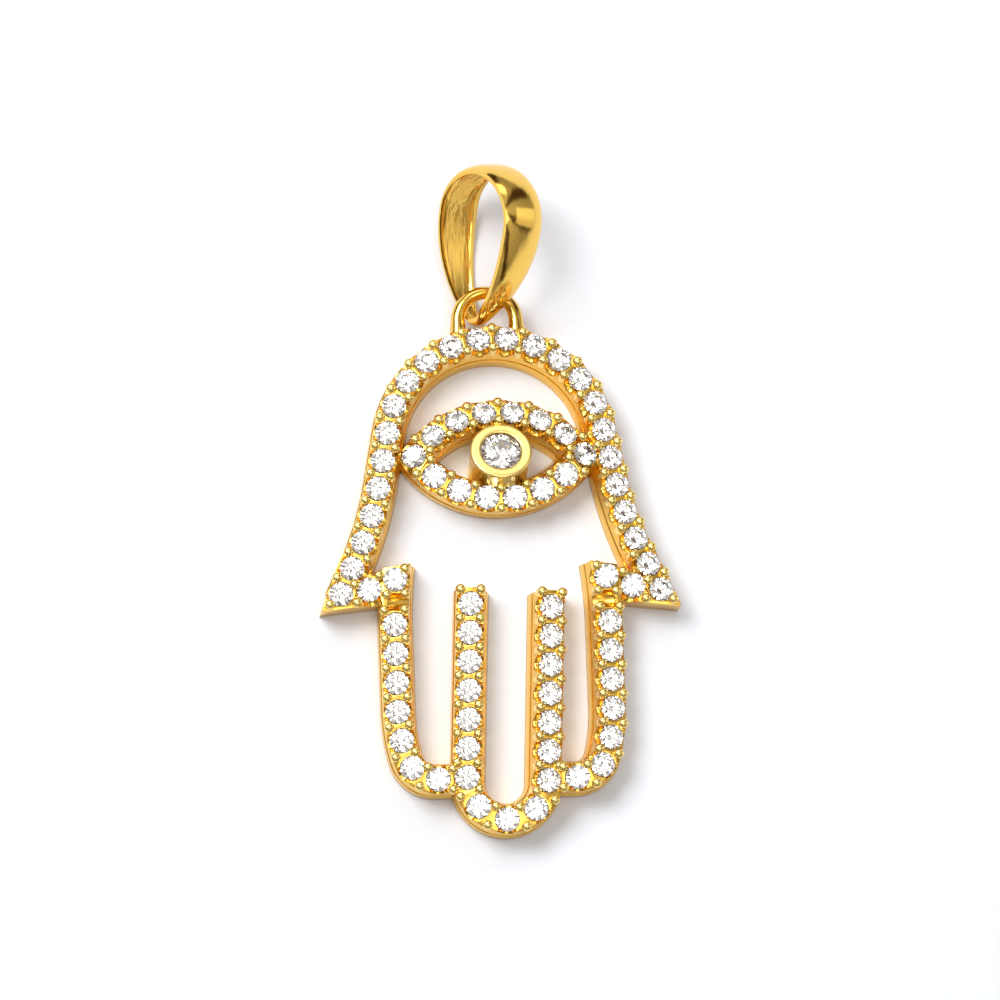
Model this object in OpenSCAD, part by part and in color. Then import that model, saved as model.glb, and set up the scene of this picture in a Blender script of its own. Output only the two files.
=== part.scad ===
// Hamsa pendant: an openwork hand of pave bands round an eye, with a loop and a bail.
// It lies on its back on Z = 0, fingers towards -Y and bail towards +Y. The origin is under the
// crown of the arch, on the back. Heights along the hand are counted from there. Sizes are in millimetres.

/* [Hand outline] */
// Radius of the arch's crown
arch_radius = 4.5; // [4.2:0.05:4.8]
// Turn of the crown on each side before the wrist runs straight, in degrees
arch_turn = 79; // [76:0.5:82]
// Straight run below the crown
wrist_run = 2.3; // [1.6:0.1:3]
// Radius of the flare out to the thumb
flare_radius = 14; // [12:0.5:18]
// Turn of the flare, in degrees
flare_turn = 14; // [10:0.5:17]
// Straight run from the flare to the thumb's last stone
thumb_run = 1.6; // [1.2:0.1:2]
// Slope of the thumb's lower row of stones, from its first stone to its last, in degrees
thumb_slope = 15; // [12:0.5:17]
// Turn of the thumb's lower row along its length, in degrees
thumb_turn = 24; // [20:1:28]
// How far the thumb's point reaches past its last stone
thumb_point = 0.95; // [0.75:0.05:1.1]

/* [Outer fingers] */
// Half the distance between the centre lines of the two outer fingers
finger_x = 4.42; // [4.2:0.02:4.6]
// Place of an outer finger's first stone below the thumb, counted down from the crown
finger_first = -11.88; // [-12.1:0.02:-11.8]
// Radius of the slight bend of an outer finger above that stone
finger_head_bend = 20; // [16:0.5:30]
// Straight run of an outer finger below its first stone
finger_run = 3.4; // [3:0.1:3.8]
// Radius of the gentle bend before the finger's corner
finger_bend = 8; // [6:0.5:12]
// Turn of the gentle bend, in degrees
finger_bend_turn = 15; // [10:1:18]
// Radius of the finger's corner
finger_corner = 1.3; // [1.1:0.05:1.5]

/* [Middle fingers] */
// Half the distance between the two middle fingers' centre lines, and their bow's radius
middle_half = 1.67; // [1.55:0.01:1.8]
// Place of the centre of the bow that joins the two middle fingers, counted down from the crown
bow_y = -18.34; // [-18.6:0.02:-18.2]
// Length of a middle finger from the bow to its top stone
middle_run = 7.2; // [6:0.1:7.8]
// Lean of the middle fingers to one side, in degrees
middle_lean = 3; // [0:0.5:4]

/* [Band] */
// Height of the band that carries the stones
band_height = 1.45; // [1.3:0.05:1.7]
// Width of the band's top
band_width = 1.1; // [1.08:0.02:1.16]
// How much further the band's inner wall stands out at its foot
inner_flare = 0.34; // [0.2:0.02:0.4]
// Height of the smooth rail along the band's foot
rail_height = 0.6; // [0.4:0.05:0.7]
// Step between the rail and the wall above it
rail_step = 0.05; // [0.03:0.01:0.08]
// Slope of the band's top away from the hand's middle, in degrees
band_cant = 8; // [0:1:12]
// Radius of the scallop cut through the band under each stone
scallop_radius = 0.36; // [0.3:0.01:0.38]

/* [Stones] */
// Diameter of a pave stone
stone_size = 1.0; // [0.92:0.01:1.0]
// Wanted distance from one stone to the next along a row
stone_pitch = 1.19; // [1.16:0.01:1.24]
// Gap between a stone and the metal round it
stone_gap = 0.02; // [0.01:0.005:0.03]
// Diameter of the hole behind each pave stone
azure_size = 0.5; // [0.3:0.02:0.6]
// Diameter of a bead prong
prong_size = 0.3; // [0.24:0.01:0.32]
// Height of a bead prong above the band's top
prong_height = 0.26; // [0.2:0.01:0.32]
// Distance of a prong from the row's centre line
prong_offset = 0.38; // [0.36:0.01:0.39]

/* [Eye] */
// Place of the eye's corners, counted down from the crown
eye_y = -4.89; // [-5.2:0.01:-4.6]
// Sideways place of the eye's middle
eye_x = 0.13; // [-0.15:0.01:0.15]
// Half the eye's length between its two corner stones
eye_half = 3.53; // [3.4:0.01:3.65]
// Rise of each lid's centre line from the line between the corners
lid_rise = 1.8; // [1.7:0.02:1.95]
// Outward slope of the upper lid's top, in degrees
upper_lid_cant = 20; // [4:1:24]
// Outward slope of the lower lid's top, in degrees
lower_lid_cant = 5; // [0:1:12]

/* [Bezel] */
// Outside diameter of the bezel cup
bezel_size = 2.44; // [2.3:0.02:2.48]
// Height of the bezel's rim at its middle
bezel_height = 2.05; // [1.9:0.05:2.3]
// Lean of the bezel towards the upper lid, in degrees
bezel_lean = 18; // [0:1:20]
// Place of the rim's middle above the line between the eye's corners
bezel_rise = 0.08; // [0:0.01:0.12]
// Width of the rim as seen from the front
rim_width = 0.4; // [0.34:0.01:0.44]
// How far the rim's lip laps over the centre stone
rim_lap = 0.05; // [0.03:0.005:0.08]

/* [Loop] */
// Diameter of the loop's wire
loop_wire = 0.54; // [0.5:0.01:0.56]
// Radius of the loop's bow, to the middle of the wire
loop_radius = 1.2; // [1.18:0.01:1.24]
// Height of the bow's centre over the arch's crown
loop_y = 0.77; // [0.76:0.01:0.84]
// Sideways place of the loop
loop_x = -0.18; // [-0.24:0.01:-0.16]
// Height of the loop's wire over the back, to its middle
loop_z = 1.19; // [1.17:0.01:1.22]

/* [Bail] */
// Length of the bail from its tip to its top, outside
bail_length = 6.86; // [6.8:0.02:7.1]
// Depth of the bail at its widest, outside
bail_depth = 4.56; // [4.52:0.02:4.66]
// Depth of the bail's tip, outside
tip_depth = 1.66; // [1.64:0.01:1.74]
// Width of the strap at the bail's top
strap_width = 1.96; // [1.8:0.02:2]
// Width of the strap at the bail's tip
tip_width = 0.54; // [0.5:0.01:0.56]
// Length over which the strap widens from the tip
strap_taper = 4.3; // [4.2:0.1:5]
// Thickness of the strap at its edges
strap_thick = 0.28; // [0.24:0.01:0.29]
// Extra thickness of the strap at the middle of its crown
strap_crown = 0.13; // [0.1:0.01:0.14]
// Depth of the hollow inside the strap
strap_hollow = 0.1; // [0.06:0.01:0.12]
// Turn of the bail about its own length, in degrees
bail_turn = 39; // [38:0.5:39.5]
// Lift of the bail's top off the surface, in degrees
bail_lift = 24.5; // [24:0.5:26]
// Sideways lean of the bail, in degrees
bail_lean = 8.5; // [7.5:0.5:9.5]
// Place of the bail's tip, outside, across the hand
tip_x = -0.65; // [-0.68:0.01:-0.62]
// Place of the bail's tip, outside, over the arch's crown
tip_y = 0.65; // [0.62:0.01:0.68]
// Height of the bail's tip over the surface the pendant lies on
tip_z = 0.65; // [0.65:0.01:0.67]

/* [Hidden] */
gold = [0.86, 0.63, 0.2];
stone_colour = [0.93, 0.95, 0.97];
// One flat of a curved band turns through at most this many degrees
arc_step = 9;
// Cuts run this far past the metal
past = 0.4;
half_top = band_width / 2;
stone_r = stone_size / 2;
seat_r = stone_r + stone_gap;
prong_r = prong_size / 2;

// Share of half the band's width at which the thumb's point stands out
tip_share = 0.8;

// Share of half the band's width by which an outer finger runs into the bow's band
bow_bite = 0.3;

// Proportions of a cut stone, as shares of its diameter
crown_share = 0.15;
girdle_share = 0.03;
pavilion_share = 0.43;
table_share = 0.56;
star_share = 0.78;
main_share = 0.24;

// A path is a list of rows. A row is [length, 0] for a straight run and
// [radius, degrees] for an arc, where a positive turn is to the left.
function row_length(r) = r[1] == 0 ? r[0] : r[0] * abs(r[1]) * PI / 180;
function path_length(path, n = 0) =
    n == len(path) ? 0 : row_length(path[n]) + path_length(path, n + 1);

// A pose is [x, y, heading]. This is the pose after going a distance along one row.
function along_row(pose, row, d) =
    let (h = pose[2], r = row[0], side = sign(row[1]), t = side * d / r * 180 / PI)
    side == 0
    ? [pose[0] + d * cos(h), pose[1] + d * sin(h), h]
    : [pose[0] + side * r * (sin(h + t) - sin(h)), pose[1] - side * r * (cos(h + t) - cos(h)), h + t];

// The pose after going a distance along a whole path
function along(pose, path, s, n = 0) =
    let (l = row_length(path[n]))
    s <= l || n == len(path) - 1
    ? along_row(pose, path[n], s)
    : along(along_row(pose, path[n], l), path, s - l, n + 1);

// The poses at the ends of a band's flats, all along a path
function stations(pose, path, n = 0) =
    let (l = row_length(path[n]), flats = max(1, ceil(abs(path[n][1]) / arc_step)))
    concat([for (k = [0 : flats - 1]) along_row(pose, path[n], l * k / flats)],
        n == len(path) - 1
        ? [along_row(pose, path[n], l)]
        : stations(along_row(pose, path[n], l), path, n + 1));

function mirrored(p) = [-p[0], p[1], -p[2]];
function reversed(list) = [for (i = [len(list) - 1 : -1 : 0]) list[i]];
function both_sides(poses) = concat(poses, [for (p = poses) mirrored(p)]);
function canted(poses, cant) = [for (p = poses) [p[0], p[1], p[2], cant]];

// How many equal steps of about one pitch fill a length
function steps(l) = max(1, round(l / stone_pitch));

// The crown starts the right half of the arch, and the left half mirrors it.
crown = [0, 0, 0];
half_arch = [[arch_radius, -arch_turn], [wrist_run, 0], [flare_radius, flare_turn], [thumb_run, 0]];
half_arch_length = path_length(half_arch);
arch_count = round(half_arch_length / stone_pitch + 0.5);
arch_pitch = half_arch_length / (arch_count - 0.5);
thumb_end = along(crown, half_arch, half_arch_length);
arch_stone_places = [for (i = [0 : arch_count - 1]) along(crown, half_arch, (i + 0.5) * arch_pitch)];
arch_gap_places = [for (i = [1 : arch_count - 2]) along(crown, half_arch, i * arch_pitch)];
last_arch_gap = along(crown, half_arch, (arch_count - 1) * arch_pitch);

// Above its first stone an outer finger bends slightly inwards, up to its sloping head.
finger_start = [finger_x, finger_first, -90];
function above_first(d) = along_row(finger_start, [finger_head_bend, -1], -d);
finger_lead = thumb_end[1] + (thumb_end[0] - finger_x) * tan(thumb_slope) - finger_first;

// The thumb's lower row runs in from the arch's last stone to the head of the outer finger.
thumb_chord = (thumb_end[0] - above_first(finger_lead)[0]) / cos(thumb_slope);
thumb_radius = thumb_chord / 2 / sin(thumb_turn / 2);
thumb_start = [thumb_end[0], thumb_end[1], 180 - thumb_slope + thumb_turn / 2];
thumb_row = [[thumb_radius, -thumb_turn]];
thumb_length = path_length(thumb_row);
thumb_count = steps(thumb_length);
thumb_pitch = thumb_length / thumb_count;
function thumb_at(i) = along(thumb_start, thumb_row, i * thumb_pitch);
thumb_stone_places = [for (i = [1 : thumb_count]) thumb_at(i)];
top_stone = thumb_at(thumb_count);

// An outer finger runs down from its first stone and turns in to meet the middle fingers' bow.
finger_turns = [[finger_run, 0], [finger_bend, -finger_bend_turn], [finger_corner, finger_bend_turn - 90]];
finger_turned = along(finger_start, finger_turns, path_length(finger_turns));
finger_rest = finger_turned[0] - middle_half - stone_pitch;
finger_row = concat(finger_turns, [[finger_rest, 0]]);
finger_length = path_length(finger_row);
finger_count = steps(finger_length);
finger_pitch = finger_length / finger_count;
finger_stone_places = [for (i = [0 : finger_count]) along(finger_start, finger_row, i * finger_pitch)];
finger_gap_places =
    [for (i = [-1 : finger_count]) along(finger_start, finger_row, (i + 0.5) * finger_pitch)];
finger_head = top_stone[1] - finger_first + half_top / cos(thumb_slope);

// The middle fingers are one U, turned about the centre of its bow by their lean.
middle_start = [
    middle_half * cos(middle_lean) + middle_run * sin(middle_lean),
    bow_y - middle_half * sin(middle_lean) + middle_run * cos(middle_lean),
    -90 - middle_lean
];
middle_row = [[middle_run, 0], [middle_half, -180], [middle_run, 0]];
bar_count = steps(middle_run);
bar_pitch = middle_run / bar_count;
bow_length = PI * middle_half;
bow_count = 4;
bow_pitch = bow_length / bow_count;
function middle_at(i) =
    i <= bar_count ? i * bar_pitch
    : i <= bar_count + bow_count ? middle_run + (i - bar_count) * bow_pitch
    : middle_run + bow_length + (i - bar_count - bow_count) * bar_pitch;
middle_count = 2 * bar_count + bow_count;
middle_stone_places = [for (i = [0 : middle_count]) along(middle_start, middle_row, middle_at(i))];
middle_gap_places = concat(
    [along(middle_start, middle_row, -bar_pitch / 2)],
    [for (i = [1 : middle_count])
        along(middle_start, middle_row, (middle_at(i - 1) + middle_at(i)) / 2)],
    [along(middle_start, middle_row, middle_at(middle_count) + bar_pitch / 2)]
);

// Each lid is one arc between the eye's corners.
lid_radius = (eye_half * eye_half + lid_rise * lid_rise) / (2 * lid_rise);
lid_turn = 2 * asin(eye_half / lid_radius);
upper_lid = [eye_x - eye_half, eye_y, lid_turn / 2];
lower_lid = [eye_x + eye_half, eye_y, 180 + lid_turn / 2];
lid_row = [[lid_radius, -lid_turn]];
lid_length = path_length(lid_row);
lid_count = steps(lid_length);
lid_lead = half_top * 0.8;
function lid_places(lid, first, last, shift) =
    [for (i = [first : last]) along(lid, lid_row, (i + shift) * lid_length / lid_count)];

hand_places = both_sides(concat(arch_stone_places, thumb_stone_places, finger_stone_places));
side_gaps = concat(arch_gap_places, [thumb_at(thumb_count - 0.5)], finger_gap_places);
hand_gaps = concat([crown], both_sides(side_gaps));
upper_places = lid_places(upper_lid, 0, lid_count, 0);
lower_places = lid_places(lower_lid, 1, lid_count - 1, 0);
eye_places = concat(canted(upper_places, upper_lid_cant), canted(lower_places, lower_lid_cant));
eye_gaps = concat(
    canted(lid_places(upper_lid, 0, lid_count - 1, 0.5), upper_lid_cant),
    canted(lid_places(lower_lid, 0, lid_count - 1, 0.5), lower_lid_cant)
);
hand_stone_places = canted(hand_places, band_cant);
middle_places = canted(middle_stone_places, band_cant);
all_places = concat(hand_stone_places, middle_places, eye_places);
all_gaps = concat(canted(concat(hand_gaps, middle_gap_places), band_cant), eye_gaps);

// Round the thumb the beads stand singly: [place on the right half, distance outward].
close_offset = 0.85 * prong_offset;
point_offset = 0.6 * prong_offset;
lone_beads = [
    [last_arch_gap, prong_offset],
    [last_arch_gap, -close_offset],
    [thumb_at(0.56), prong_offset],
    [along_row(thumb_end, [1, 0], thumb_point * 0.6), point_offset],
    [above_first(top_stone[1] - finger_first - stone_pitch / 2), -prong_offset],
    [above_first(finger_head - prong_r + close_offset * tan(thumb_slope)), -close_offset]
];

// Scallops cross the band under each stone. Where bands meet, they are cut from one side only.
through_places = concat(
    both_sides([for (i = [0 : arch_count - 2]) arch_stone_places[i]]),
    both_sides(finger_stone_places),
    [for (i = [0 : middle_count]) if (i != bar_count && i != bar_count + bow_count) middle_stone_places[i]],
    [for (i = [1 : lid_count - 1]) upper_places[i]],
    lower_places
);
outer_places = [thumb_end, thumb_at(1)];
head_place = above_first(top_stone[1] - finger_first);

// The band's outline across its length: [distance outward, height]
function band_section(cant) =
    let (slope = half_top * tan(cant), rail_flare = inner_flare * (1 - rail_height / band_height)) [
    [-half_top - inner_flare, 0],
    [-half_top - rail_flare, rail_height],
    [-half_top - rail_flare + rail_step, rail_height],
    [-half_top, band_height + slope],
    [half_top, band_height - slope],
    [half_top, rail_height],
    [half_top + rail_step, rail_height],
    [half_top + rail_step, 0]
];

// One cross-section set at a pose, where skew slants it along the band
function section_at(pose, section, skew = 0) = [for (p = section)
    let (ahead = p[0] * tan(skew))
    [
        pose[0] + ahead * cos(pose[2]) - p[0] * sin(pose[2]),
        pose[1] + ahead * sin(pose[2]) + p[0] * cos(pose[2]),
        p[1]
    ]
];

// A closed body through a list of sections with the same number of points
module loft(sections) {
    n = len(sections);
    m = len(sections[0]);
    points = [for (s = sections, p = s) p];
    sides = [for (i = [0 : n - 2], j = [0 : m - 1])
        [i * m + j, i * m + (j + 1) % m, (i + 1) * m + (j + 1) % m, (i + 1) * m + j]];
    first = [for (j = [m - 1 : -1 : 0]) j];
    last = [for (j = [0 : m - 1]) (n - 1) * m + j];
    polyhedron(points, concat(sides, [first, last]));
}

module band(pose, path, cant, skew = 0) {
    poses = stations(pose, path);
    section = band_section(cant);
    loft([for (i = [0 : len(poses) - 1]) section_at(poses[i], section, i == 0 ? skew : 0)]);
}

module on_band(place) {
    translate([place[0], place[1], band_height])
        rotate([0, 0, place[2]])
        rotate([-place[3], 0, 0])
        children();
}

module arch_band() {
    start = mirrored(thumb_end);
    band(start, concat(reversed(half_arch), half_arch), band_cant);
}

module finger_band() {
    rows = concat(
        [[finger_head_bend, -finger_head / finger_head_bend * 180 / PI]],
        finger_row,
        [[stone_pitch - half_top * (1 - bow_bite), 0]]
    );
    band(above_first(finger_head), rows, band_cant, thumb_slope);
}

module middle_band() {
    lead = [stone_pitch / 2 + prong_r / 2, 0];
    band(along_row(middle_start, lead, -lead[0]), concat([lead], middle_row, [lead]), band_cant);
}

// Each lid runs on a little past its corner stones, into the arch.
module lid_band(lid, cant) {
    lead = [lid_lead, 0];
    band(along_row(lid, lead, -lid_lead), concat([lead], lid_row, [lead]), cant);
}

// The thumb is a flat arrowhead along the arch's end, its own row of stones and the finger's head.
module thumb_plate() {
    tip = along_row(thumb_end, [1, 0], thumb_point);
    outward = [-sin(thumb_end[2]), cos(thumb_end[2])];
    first = thumb_at(1);
    inside = finger_x + half_top / 2;
    notch = first[0] + half_top;
    function head_edge(x) =
        top_stone[1] + half_top / cos(thumb_slope) - (x - top_stone[0]) * tan(thumb_slope);
    outline = [
        [tip[0] + outward[0] * half_top * tip_share, tip[1] + outward[1] * half_top * tip_share],
        [finger_x + half_top, first[1] - half_top - rail_step],
        [inside, first[1] - half_top - rail_step],
        [inside, head_edge(inside) - rail_step],
        [notch, head_edge(notch)],
        [thumb_end[0] + outward[0] * half_top, thumb_end[1] + outward[1] * half_top]
    ];
    linear_extrude(band_height - half_top * tan(band_cant)) polygon(outline);
}

// Seats and scallops are flat-sided, and a flat faces the band's walls.
cut_sides = 12;
bead_sides = 24;
// A bead's shoulder begins this share of its radius below its top, and its flat top is this share wide.
bead_shoulder = 0.7;
bead_tip = 0.6;

module seat_cut() {
    grow = 1 / cos(180 / cut_sides);
    drop = (seat_r - azure_size / 2) * 2 * pavilion_share;
    rotate([0, 0, 180 / cut_sides]) rotate_extrude($fn = cut_sides) polygon([
        [0, -band_height - past],
        [grow * azure_size / 2, -band_height - past],
        [grow * azure_size / 2, -drop],
        [grow * seat_r, 0],
        [grow * seat_r, past],
        [0, past]
    ]);
}

// A scallop runs from the row's centre line outwards, or with through = true to both sides.
module scallop_cut(through = false) {
    reach = half_top + inner_flare + past;
    translate([0, reach, 0]) rotate([90, 0, 0])
        cylinder(r = scallop_radius, h = through ? 2 * reach : reach, $fn = cut_sides);
}

// The places on the right half, repeated on the left with their scallops and beads still outward
module on_both_sides(place) {
    on_band(place) children();
    mirror([1, 0, 0]) on_band(place) children();
}

module bead_prong() {
    foot = scallop_radius;
    rotate_extrude($fn = bead_sides) polygon([
        [0, -foot],
        [prong_r, -foot],
        [prong_r, prong_height - prong_r * bead_shoulder],
        [prong_r * bead_tip, prong_height],
        [0, prong_height]
    ]);
}

module prong_pair() {
    for (side = [-1, 1]) translate([0, side * prong_offset, 0]) bead_prong();
}

module loop() {
    translate([loop_x, loop_y, loop_z]) {
        rotate_extrude(angle = 180, $fn = 48) translate([loop_radius, 0]) circle(d = loop_wire, $fn = 24);
        for (side = [-1, 1])
            translate([side * loop_radius, 0, 0]) rotate([90, 0, 0])
            cylinder(d = loop_wire, h = loop_y, $fn = 24);
    }
}

// The bezel's own frame: its origin is the middle of the rim's top.
module in_bezel() {
    translate([eye_x, eye_y + bezel_rise, bezel_height]) rotate([-bezel_lean, 0, 0]) children();
}

rim_r = bezel_size / 2;
lip_r = rim_r - rim_width;
centre_r = lip_r + rim_lap;
// Depth of the centre stone's girdle below the rim, and the share of its radius left open behind it
girdle_drop = 0.24;
bore_share = 0.62;

module bezel_cup() {
    round_over = rim_width / 4;
    depth = bezel_height + rim_r;
    intersection() {
        in_bezel() rotate_extrude($fn = 64) polygon([
            [0, -depth],
            [rim_r, -depth],
            [rim_r, -round_over],
            [rim_r - round_over, 0],
            [0, 0]
        ]);
        translate([eye_x - eye_half, eye_y - eye_half, 0])
            cube([2 * eye_half, 2 * eye_half, bezel_height + rim_r]);
    }
}

module bezel_bore() {
    groove = centre_r + stone_gap;
    bore = centre_r * bore_share;
    drop = (groove - bore) * 2 * pavilion_share;
    floor_z = -girdle_drop - stone_gap;
    in_bezel() rotate_extrude($fn = 64) polygon([
        [0, -bezel_height - rim_r],
        [bore, -bezel_height - rim_r],
        [bore, floor_z - drop],
        [groove, floor_z],
        [groove, floor_z + girdle_share * 2 * centre_r + 2 * stone_gap],
        [lip_r, -rim_width / 6],
        [lip_r, past],
        [0, past]
    ]);
}

module hand_frame() {
    color(gold) difference() {
        union() {
            difference() {
                union() {
                    arch_band();
                    for (side = [0, 1]) mirror([side, 0, 0]) {
                        thumb_plate();
                        finger_band();
                    }
                    middle_band();
                    lid_band(upper_lid, upper_lid_cant);
                    lid_band(lower_lid, lower_lid_cant);
                }
                for (p = canted(through_places, 0)) on_band(p) scallop_cut(true);
                for (p = canted(outer_places, 0)) on_both_sides(p) scallop_cut();
                on_both_sides([head_place[0], head_place[1], head_place[2] + 180, 0]) scallop_cut();
                for (i = [bar_count, bar_count + bow_count]) let (p = middle_stone_places[i])
                    on_band([p[0], p[1], p[2] + 180, 0]) scallop_cut();
            }
            for (p = all_gaps) on_band(p) prong_pair();
            for (b = lone_beads) on_both_sides([b[0][0], b[0][1], b[0][2], band_cant])
                translate([0, b[1], 0]) bead_prong();
            bezel_cup();
            loop();
        }
        for (p = all_places) on_band(p) seat_cut();
        bezel_bore();
    }
}

// A full-cut round stone of the given diameter, its girdle's lower edge at Z = 0
module cut_stone(d) {
    r = d / 2;
    crown_h = d * crown_share;
    girdle_h = d * girdle_share;
    depth = d * pavilion_share;
    table_r = r * table_share;
    star_r = r * star_share;
    main_r = r * main_share;
    star_z = girdle_h + crown_h * (r - star_r * cos(22.5)) / (r - table_r);
    main_z = -depth * (1 - main_r * cos(22.5) / r);
    function wheel(n, radius, z, from = 0) = [for (k = [0 : n - 1])
        [radius * cos(from + k * 360 / n), radius * sin(from + k * 360 / n), z]];
    // 0-7 table, 8-15 stars, 16-31 girdle's top, 32-47 girdle's foot, 48-55 mains, 56 culet
    points = concat(
        wheel(8, table_r, girdle_h + crown_h),
        wheel(8, star_r, star_z, 22.5),
        wheel(16, r, girdle_h),
        wheel(16, r, 0),
        wheel(8, main_r, main_z, 22.5),
        [[0, 0, -depth]]
    );
    faces = concat(
        [[7, 6, 5, 4, 3, 2, 1, 0]],
        [for (k = [0 : 7]) [k, (k + 1) % 8, 8 + k]],
        [for (k = [0 : 7]) [k, 8 + k, 16 + 2 * k, 8 + (k + 7) % 8]],
        [for (k = [0 : 7]) [8 + k, 17 + 2 * k, 16 + 2 * k]],
        [for (k = [0 : 7]) [8 + k, 16 + (2 * k + 2) % 16, 17 + 2 * k]],
        [for (k = [0 : 15]) [16 + k, 16 + (k + 1) % 16, 32 + (k + 1) % 16, 32 + k]],
        [for (k = [0 : 7]) [48 + k, 32 + 2 * k, 33 + 2 * k]],
        [for (k = [0 : 7]) [48 + k, 33 + 2 * k, 32 + (2 * k + 2) % 16]],
        [for (k = [0 : 7]) [56, 48 + (k + 7) % 8, 32 + 2 * k, 48 + k]]
    );
    polyhedron(points, faces);
}

module stones(places) {
    color(stone_colour) for (p = places) on_band(p) cut_stone(stone_size);
}

module hand_stones() { stones(hand_stone_places); }
module middle_stones() { stones(middle_places); }
module eye_stones() { stones(eye_places); }

module centre_stone() {
    color(stone_colour) in_bezel() translate([0, 0, -girdle_drop]) cut_stone(2 * centre_r);
}

// The bail is a strap bent into a long oval drop, wide at its top and narrow at its tip.
bail_r = (bail_depth - strap_thick) / 2 - strap_crown;
tip_r = (tip_depth - strap_thick) / 2 - strap_crown;
// Height of the widest place above the tip's centre, and the arc that reaches it from the tip
bail_rise = bail_length - strap_thick - 2 * strap_crown - bail_r - tip_r;
side_r = (bail_r * bail_r - tip_r * tip_r + bail_rise * bail_rise) / (2 * (bail_r - tip_r));
tip_turn = asin((side_r - bail_r) / (side_r - tip_r));
bail_row = [
    [tip_r, tip_turn], [side_r, 90 - tip_turn], [bail_r, 180], [side_r, 90 - tip_turn], [tip_r, tip_turn]
];

// Shares of half the strap's width: the crown's shoulders, the hollow's floor and the hollow's edges
crown_shoulder = 0.62;
hollow_floor = 0.6;
hollow_edge = 0.74;
// Shares of the crown's rise at its shoulders, and of half the thickness at the strap's outer corners
shoulder_rise = 0.6;
corner_share = 0.4;

// The strap's outline across its width w: [across, outward]. A narrower strap has a lower crown.
function strap_section(w) = let (half = w / 2, t = strap_thick / 2, rise = strap_crown * w / strap_width) [
    [-half, -t],
    [-half, t * corner_share],
    [-half * crown_shoulder, t + rise * shoulder_rise],
    [0, t + rise],
    [half * crown_shoulder, t + rise * shoulder_rise],
    [half, t * corner_share],
    [half, -t],
    [half * hollow_edge, -t],
    [half * hollow_floor, -t + strap_hollow],
    [-half * hollow_floor, -t + strap_hollow],
    [-half * hollow_edge, -t]
];

// The strap widens fast above the tip and then ever more slowly.
function width_at(y) = let (left = max(0, 1 - y / strap_taper))
    strap_width - (strap_width - tip_width) * left * left;

module bail() {
    poses = stations([0, 0, 0], bail_row);
    sections = [for (i = [0 : len(poses) - 2])
        let (p = poses[i])
        [for (s = strap_section(width_at(p[1]))) [p[0] + s[1] * sin(p[2]), p[1] - s[1] * cos(p[2]), s[0]]]
    ];
    color(gold) place_bail() closed_loft(sections);
}

// A ring-shaped body through a list of sections, the last joined to the first
module closed_loft(sections) {
    n = len(sections);
    m = len(sections[0]);
    points = [for (s = sections, p = s) p];
    sides = [for (i = [0 : n - 1], j = [0 : m - 1]) let (k = (i + 1) % n)
        [i * m + j, k * m + j, k * m + (j + 1) % m, i * m + (j + 1) % m]];
    polyhedron(points, sides);
}

module place_bail() {
    drop = strap_thick / 2 + strap_crown;
    translate([tip_x, tip_y, tip_z])
        rotate([bail_lift, 0, -bail_lean])
        rotate([0, bail_turn, 0])
        translate([0, drop, 0])
        rotate([0, 90, 0])
        children();
}

hand_frame();
bail();
hand_stones();
middle_stones();
eye_stones();
centre_stone();
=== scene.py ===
"""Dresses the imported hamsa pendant: polished gold bands, beads, bezel, loop and bail, clear stones,
a white floor, soft studio light and the camera."""

from math import asin, ceil, cos, degrees, pi, radians, sin, sqrt, tan

import bmesh
import bpy
from mathutils import Matrix, Vector
from mathutils.bvhtree import BVHTree


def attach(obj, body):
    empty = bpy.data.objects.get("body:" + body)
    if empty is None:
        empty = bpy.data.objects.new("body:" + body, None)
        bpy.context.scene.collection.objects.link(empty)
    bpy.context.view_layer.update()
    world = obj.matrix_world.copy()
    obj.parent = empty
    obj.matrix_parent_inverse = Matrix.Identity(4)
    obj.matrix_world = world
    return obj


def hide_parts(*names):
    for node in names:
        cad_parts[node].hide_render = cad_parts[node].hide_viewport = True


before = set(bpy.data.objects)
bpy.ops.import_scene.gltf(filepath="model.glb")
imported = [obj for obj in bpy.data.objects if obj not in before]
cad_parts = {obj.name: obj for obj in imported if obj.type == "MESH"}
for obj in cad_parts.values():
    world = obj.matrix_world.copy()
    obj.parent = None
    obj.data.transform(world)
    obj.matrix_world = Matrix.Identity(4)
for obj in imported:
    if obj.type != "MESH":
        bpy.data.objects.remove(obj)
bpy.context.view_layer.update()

# The pendant's lengths are in millimetres, and a finished mesh is scaled to metres once.
MM = 0.001

# Points nearer than this become one: in a new shape, before its edges are rounded, along open rims,
# and where the two halves of the hand meet
build_merge = 0.00001
soften_merge = 0.002
rim_merge = 0.004
mirror_merge = 0.002

# How far a point may be off a cell's end, the mirror plane or a seat's wall and still count as on it
end_slack = 0.0002
mirror_slack = 0.01
wall_slack = 0.012

# How finely the round shapes are divided. Steps are in degrees, but a band's rings in millimetres.
seat_sides = 32
scallop_sides = 28
bead_sides = 14
bezel_sides = 72
wire_sides = 28
ridge_rings = 22
ridge_step = 36
bail_rings = 120
strap_points = 16
arc_step = 15
bow_step = 5
band_step = 0.15

# The hand's outline. Its origin is under the crown of the arch, on the flat back.
arch_radius = 4.5
arch_turn = 79
wrist_run = 2.3
flare_radius = 14
flare_turn = 14
thumb_run = 1.6
thumb_slope = 15
thumb_turn = 24
thumb_point = 0.95
finger_x = 4.42
finger_first = -11.88
finger_head_bend = 20
finger_run = 3.4
finger_bend = 8
finger_bend_turn = 15
finger_corner = 1.3
middle_half = 1.67
bow_y = -18.34
middle_run = 7.2
middle_lean = 3

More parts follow.
